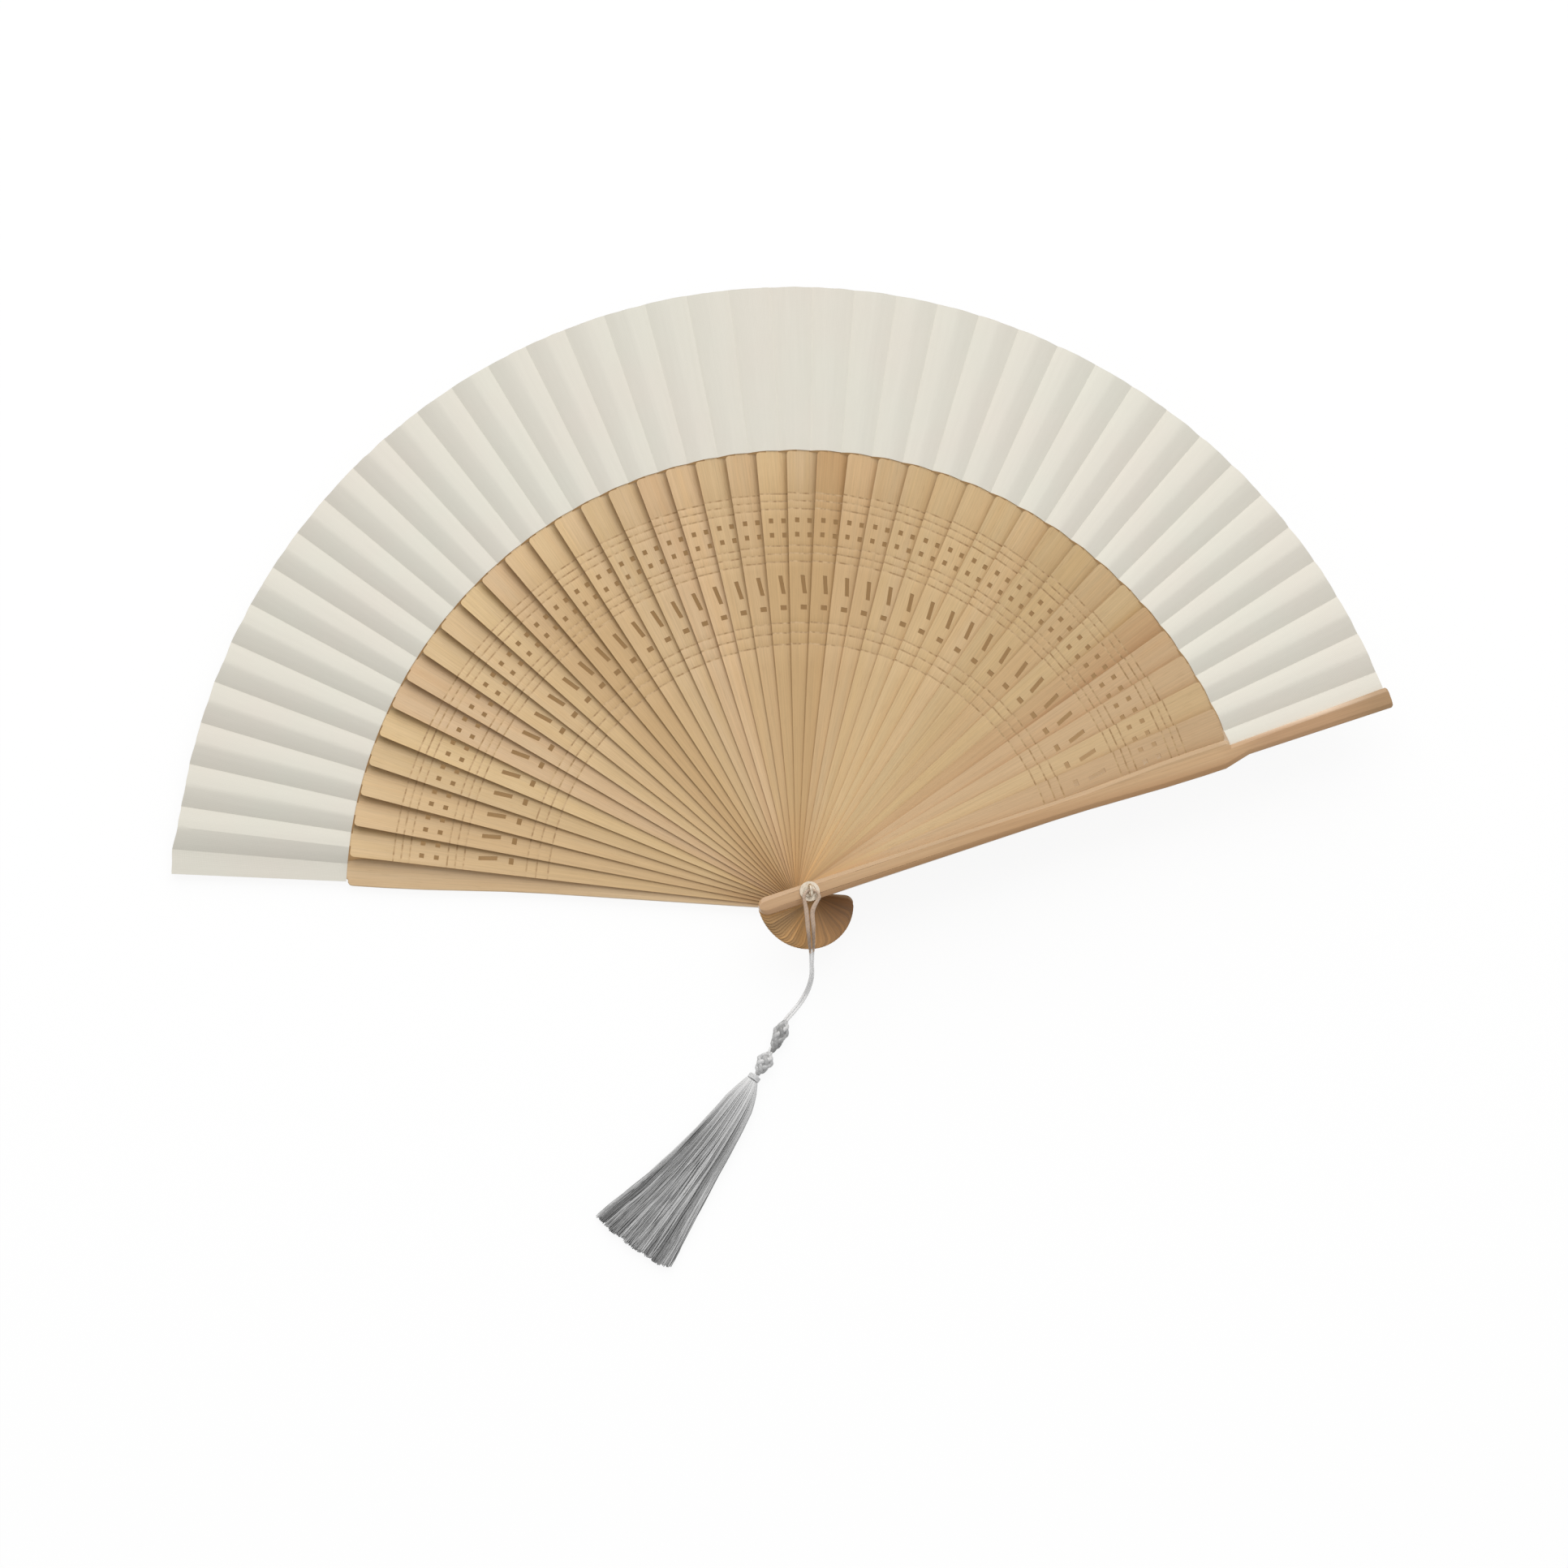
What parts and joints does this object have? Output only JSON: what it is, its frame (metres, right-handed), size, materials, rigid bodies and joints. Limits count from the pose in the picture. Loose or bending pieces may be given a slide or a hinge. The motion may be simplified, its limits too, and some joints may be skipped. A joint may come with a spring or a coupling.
{
  "type": "folding fan",
  "caption": "Folding hand fan: pierced bamboo ribs between two guards, a pleated cloth leaf, a pivot pin and a silk tassel on a cord.",
  "frame": {"origin": "on the pivot's axis, at the flat back face of the pivot pin, which is the underside", "axes": "+Z along the pivot towards the front guard, +Y out along the middle of the open fan, +X to the clockwise side where the front guard lies open"},
  "size_m": [0.3839, 0.3019, 0.0298],
  "materials": {
    "rib": "satin varnished bamboo",
    "guard": "varnished bamboo",
    "leaf": "matt woven cloth",
    "metal": "dull plated",
    "silk": "silky thread"
  },
  "bodies": {
    "back_guard": {"back_guard": "guard", "pivot_pin": "metal", "pin_washer": "metal", "leaf": "leaf", "cord_left": "silk", "cord_right": "silk", "knot_upper": "silk", "knot_lower": "silk", "tassel_collar": "silk", "tassel_skirt": "silk"},
    "rib_01": {"rib_01": "rib"},
    "rib_02": {"rib_02": "rib"},
    "rib_03": {"rib_03": "rib"},
    "rib_04": {"rib_04": "rib"},
    "rib_05": {"rib_05": "rib"},
    "rib_06": {"rib_06": "rib"},
    "rib_07": {"rib_07": "rib"},
    "rib_08": {"rib_08": "rib"},
    "rib_09": {"rib_09": "rib"},
    "rib_10": {"rib_10": "rib"},
    "rib_11": {"rib_11": "rib"},
    "rib_12": {"rib_12": "rib"},
    "rib_13": {"rib_13": "rib"},
    "rib_14": {"rib_14": "rib"},
    "rib_15": {"rib_15": "rib"},
    "rib_16": {"rib_16": "rib"},
    "rib_17": {"rib_17": "rib"},
    "rib_18": {"rib_18": "rib"},
    "rib_19": {"rib_19": "rib"},
    "rib_20": {"rib_20": "rib"},
    "rib_21": {"rib_21": "rib"},
    "rib_22": {"rib_22": "rib"},
    "rib_23": {"rib_23": "rib"},
    "rib_24": {"rib_24": "rib"},
    "rib_25": {"rib_25": "rib"},
    "rib_26": {"rib_26": "rib"},
    "rib_27": {"rib_27": "rib"},
    "rib_28": {"rib_28": "rib"},
    "rib_29": {"rib_29": "rib"},
    "rib_30": {"rib_30": "rib"},
    "rib_31": {"rib_31": "rib"},
    "rib_32": {"rib_32": "rib"},
    "rib_33": {"rib_33": "rib"},
    "rib_34": {"rib_34": "rib"},
    "rib_35": {"rib_35": "rib"},
    "rib_36": {"rib_36": "rib"},
    "rib_37": {"rib_37": "rib"},
    "rib_38": {"rib_38": "rib"},
    "rib_39": {"rib_39": "rib"},
    "front_guard": {"front_guard": "guard"}
  },
  "joints": [
    {"name": "front_guard_pivot", "type": "hinge", "parent": "back_guard", "child": "front_guard", "pos_m": [0, 0, 0], "axis": [0, 0, 1], "range_deg": [0, 158], "deforming": ["leaf"]},
    {"name": "rib_01_pivot", "type": "hinge", "parent": "back_guard", "child": "rib_01", "pos_m": [0, 0, 0], "axis": [0, 0, 1], "range_deg": [0, 4.05]},
    {"name": "rib_02_pivot", "type": "hinge", "parent": "back_guard", "child": "rib_02", "pos_m": [0, 0, 0], "axis": [0, 0, 1], "range_deg": [0, 8]},
    {"name": "rib_03_pivot", "type": "hinge", "parent": "back_guard", "child": "rib_03", "pos_m": [0, 0, 0], "axis": [0, 0, 1], "range_deg": [0, 11.95]},
    {"name": "rib_04_pivot", "type": "hinge", "parent": "back_guard", "child": "rib_04", "pos_m": [0, 0, 0], "axis": [0, 0, 1], "range_deg": [0, 15.9]},
    {"name": "rib_05_pivot", "type": "hinge", "parent": "back_guard", "child": "rib_05", "pos_m": [0, 0, 0], "axis": [0, 0, 1], "range_deg": [0, 19.85]},
    {"name": "rib_06_pivot", "type": "hinge", "parent": "back_guard", "child": "rib_06", "pos_m": [0, 0, 0], "axis": [0, 0, 1], "range_deg": [0, 23.8]},
    {"name": "rib_07_pivot", "type": "hinge", "parent": "back_guard", "child": "rib_07", "pos_m": [0, 0, 0], "axis": [0, 0, 1], "range_deg": [0, 27.75]},
    {"name": "rib_08_pivot", "type": "hinge", "parent": "back_guard", "child": "rib_08", "pos_m": [0, 0, 0], "axis": [0, 0, 1], "range_deg": [0, 31.7]},
    {"name": "rib_09_pivot", "type": "hinge", "parent": "back_guard", "child": "rib_09", "pos_m": [0, 0, 0], "axis": [0, 0, 1], "range_deg": [0, 35.65]},
    {"name": "rib_10_pivot", "type": "hinge", "parent": "back_guard", "child": "rib_10", "pos_m": [0, 0, 0], "axis": [0, 0, 1], "range_deg": [0, 39.6]},
    {"name": "rib_11_pivot", "type": "hinge", "parent": "back_guard", "child": "rib_11", "pos_m": [0, 0, 0], "axis": [0, 0, 1], "range_deg": [0, 43.55]},
    {"name": "rib_12_pivot", "type": "hinge", "parent": "back_guard", "child": "rib_12", "pos_m": [0, 0, 0], "axis": [0, 0, 1], "range_deg": [0, 47.5]},
    {"name": "rib_13_pivot", "type": "hinge", "parent": "back_guard", "child": "rib_13", "pos_m": [0, 0, 0], "axis": [0, 0, 1], "range_deg": [0, 51.45]},
    {"name": "rib_14_pivot", "type": "hinge", "parent": "back_guard", "child": "rib_14", "pos_m": [0, 0, 0], "axis": [0, 0, 1], "range_deg": [0, 55.4]},
    {"name": "rib_15_pivot", "type": "hinge", "parent": "back_guard", "child": "rib_15", "pos_m": [0, 0, 0], "axis": [0, 0, 1], "range_deg": [0, 59.35]},
    {"name": "rib_16_pivot", "type": "hinge", "parent": "back_guard", "child": "rib_16", "pos_m": [0, 0, 0], "axis": [0, 0, 1], "range_deg": [0, 63.3]},
    {"name": "rib_17_pivot", "type": "hinge", "parent": "back_guard", "child": "rib_17", "pos_m": [0, 0, 0], "axis": [0, 0, 1], "range_deg": [0, 67.25]},
    {"name": "rib_18_pivot", "type": "hinge", "parent": "back_guard", "child": "rib_18", "pos_m": [0, 0, 0], "axis": [0, 0, 1], "range_deg": [0, 71.2]},
    {"name": "rib_19_pivot", "type": "hinge", "parent": "back_guard", "child": "rib_19", "pos_m": [0, 0, 0], "axis": [0, 0, 1], "range_deg": [0, 75.15]},
    {"name": "rib_20_pivot", "type": "hinge", "parent": "back_guard", "child": "rib_20", "pos_m": [0, 0, 0], "axis": [0, 0, 1], "range_deg": [0, 79.1]},
    {"name": "rib_21_pivot", "type": "hinge", "parent": "back_guard", "child": "rib_21", "pos_m": [0, 0, 0], "axis": [0, 0, 1], "range_deg": [0, 83.05]},
    {"name": "rib_22_pivot", "type": "hinge", "parent": "back_guard", "child": "rib_22", "pos_m": [0, 0, 0], "axis": [0, 0, 1], "range_deg": [0, 87]},
    {"name": "rib_23_pivot", "type": "hinge", "parent": "back_guard", "child": "rib_23", "pos_m": [0, 0, 0], "axis": [0, 0, 1], "range_deg": [0, 90.95]},
    {"name": "rib_24_pivot", "type": "hinge", "parent": "back_guard", "child": "rib_24", "pos_m": [0, 0, 0], "axis": [0, 0, 1], "range_deg": [0, 94.9]},
    {"name": "rib_25_pivot", "type": "hinge", "parent": "back_guard", "child": "rib_25", "pos_m": [0, 0, 0], "axis": [0, 0, 1], "range_deg": [0, 98.85]},
    {"name": "rib_26_pivot", "type": "hinge", "parent": "back_guard", "child": "rib_26", "pos_m": [0, 0, 0], "axis": [0, 0, 1], "range_deg": [0, 102.8]},
    {"name": "rib_27_pivot", "type": "hinge", "parent": "back_guard", "child": "rib_27", "pos_m": [0, 0, 0], "axis": [0, 0, 1], "range_deg": [0, 106.75]},
    {"name": "rib_28_pivot", "type": "hinge", "parent": "back_guard", "child": "rib_28", "pos_m": [0, 0, 0], "axis": [0, 0, 1], "range_deg": [0, 110.7]},
    {"name": "rib_29_pivot", "type": "hinge", "parent": "back_guard", "child": "rib_29", "pos_m": [0, 0, 0], "axis": [0, 0, 1], "range_deg": [0, 114.65]},
    {"name": "rib_30_pivot", "type": "hinge", "parent": "back_guard", "child": "rib_30", "pos_m": [0, 0, 0], "axis": [0, 0, 1], "range_deg": [0, 118.6]},
    {"name": "rib_31_pivot", "type": "hinge", "parent": "back_guard", "child": "rib_31", "pos_m": [0, 0, 0], "axis": [0, 0, 1], "range_deg": [0, 122.55]},
    {"name": "rib_32_pivot", "type": "hinge", "parent": "back_guard", "child": "rib_32", "pos_m": [0, 0, 0], "axis": [0, 0, 1], "range_deg": [0, 126.5]},
    {"name": "rib_33_pivot", "type": "hinge", "parent": "back_guard", "child": "rib_33", "pos_m": [0, 0, 0], "axis": [0, 0, 1], "range_deg": [0, 130.45]},
    {"name": "rib_34_pivot", "type": "hinge", "parent": "back_guard", "child": "rib_34", "pos_m": [0, 0, 0], "axis": [0, 0, 1], "range_deg": [0, 134.4]},
    {"name": "rib_35_pivot", "type": "hinge", "parent": "back_guard", "child": "rib_35", "pos_m": [0, 0, 0], "axis": [0, 0, 1], "range_deg": [0, 138.35]},
    {"name": "rib_36_pivot", "type": "hinge", "parent": "back_guard", "child": "rib_36", "pos_m": [0, 0, 0], "axis": [0, 0, 1], "range_deg": [0, 142.3]},
    {"name": "rib_37_pivot", "type": "hinge", "parent": "back_guard", "child": "rib_37", "pos_m": [0, 0, 0], "axis": [0, 0, 1], "range_deg": [0, 146.25]},
    {"name": "rib_38_pivot", "type": "hinge", "parent": "back_guard", "child": "rib_38", "pos_m": [0, 0, 0], "axis": [0, 0, 1], "range_deg": [0, 150.2]},
    {"name": "rib_39_pivot", "type": "hinge", "parent": "back_guard", "child": "rib_39", "pos_m": [0, 0, 0], "axis": [0, 0, 1], "range_deg": [0, 154.15]}
  ],
  "couplings": [
    {"joint": "rib_01_pivot", "follows": "front_guard_pivot", "ratio": 0.025},
    {"joint": "rib_02_pivot", "follows": "front_guard_pivot", "ratio": 0.05},
    {"joint": "rib_03_pivot", "follows": "front_guard_pivot", "ratio": 0.075},
    {"joint": "rib_04_pivot", "follows": "front_guard_pivot", "ratio": 0.1},
    {"joint": "rib_05_pivot", "follows": "front_guard_pivot", "ratio": 0.125},
    {"joint": "rib_06_pivot", "follows": "front_guard_pivot", "ratio": 0.15},
    {"joint": "rib_07_pivot", "follows": "front_guard_pivot", "ratio": 0.175},
    {"joint": "rib_08_pivot", "follows": "front_guard_pivot", "ratio": 0.2},
    {"joint": "rib_09_pivot", "follows": "front_guard_pivot", "ratio": 0.225},
    {"joint": "rib_10_pivot", "follows": "front_guard_pivot", "ratio": 0.25},
    {"joint": "rib_11_pivot", "follows": "front_guard_pivot", "ratio": 0.275},
    {"joint": "rib_12_pivot", "follows": "front_guard_pivot", "ratio": 0.3},
    {"joint": "rib_13_pivot", "follows": "front_guard_pivot", "ratio": 0.325},
    {"joint": "rib_14_pivot", "follows": "front_guard_pivot", "ratio": 0.35},
    {"joint": "rib_15_pivot", "follows": "front_guard_pivot", "ratio": 0.375},
    {"joint": "rib_16_pivot", "follows": "front_guard_pivot", "ratio": 0.4},
    {"joint": "rib_17_pivot", "follows": "front_guard_pivot", "ratio": 0.425},
    {"joint": "rib_18_pivot", "follows": "front_guard_pivot", "ratio": 0.45},
    {"joint": "rib_19_pivot", "follows": "front_guard_pivot", "ratio": 0.475},
    {"joint": "rib_20_pivot", "follows": "front_guard_pivot", "ratio": 0.5},
    {"joint": "rib_21_pivot", "follows": "front_guard_pivot", "ratio": 0.525},
    {"joint": "rib_22_pivot", "follows": "front_guard_pivot", "ratio": 0.55},
    {"joint": "rib_23_pivot", "follows": "front_guard_pivot", "ratio": 0.575},
    {"joint": "rib_24_pivot", "follows": "front_guard_pivot", "ratio": 0.6},
    {"joint": "rib_25_pivot", "follows": "front_guard_pivot", "ratio": 0.625},
    {"joint": "rib_26_pivot", "follows": "front_guard_pivot", "ratio": 0.65},
    {"joint": "rib_27_pivot", "follows": "front_guard_pivot", "ratio": 0.675},
    {"joint": "rib_28_pivot", "follows": "front_guard_pivot", "ratio": 0.7},
    {"joint": "rib_29_pivot", "follows": "front_guard_pivot", "ratio": 0.725},
    {"joint": "rib_30_pivot", "follows": "front_guard_pivot", "ratio": 0.75},
    {"joint": "rib_31_pivot", "follows": "front_guard_pivot", "ratio": 0.775},
    {"joint": "rib_32_pivot", "follows": "front_guard_pivot", "ratio": 0.8},
    {"joint": "rib_33_pivot", "follows": "front_guard_pivot", "ratio": 0.825},
    {"joint": "rib_34_pivot", "follows": "front_guard_pivot", "ratio": 0.85},
    {"joint": "rib_35_pivot", "follows": "front_guard_pivot", "ratio": 0.875},
    {"joint": "rib_36_pivot", "follows": "front_guard_pivot", "ratio": 0.9},
    {"joint": "rib_37_pivot", "follows": "front_guard_pivot", "ratio": 0.925},
    {"joint": "rib_38_pivot", "follows": "front_guard_pivot", "ratio": 0.95},
    {"joint": "rib_39_pivot", "follows": "front_guard_pivot", "ratio": 0.975}
  ]
}
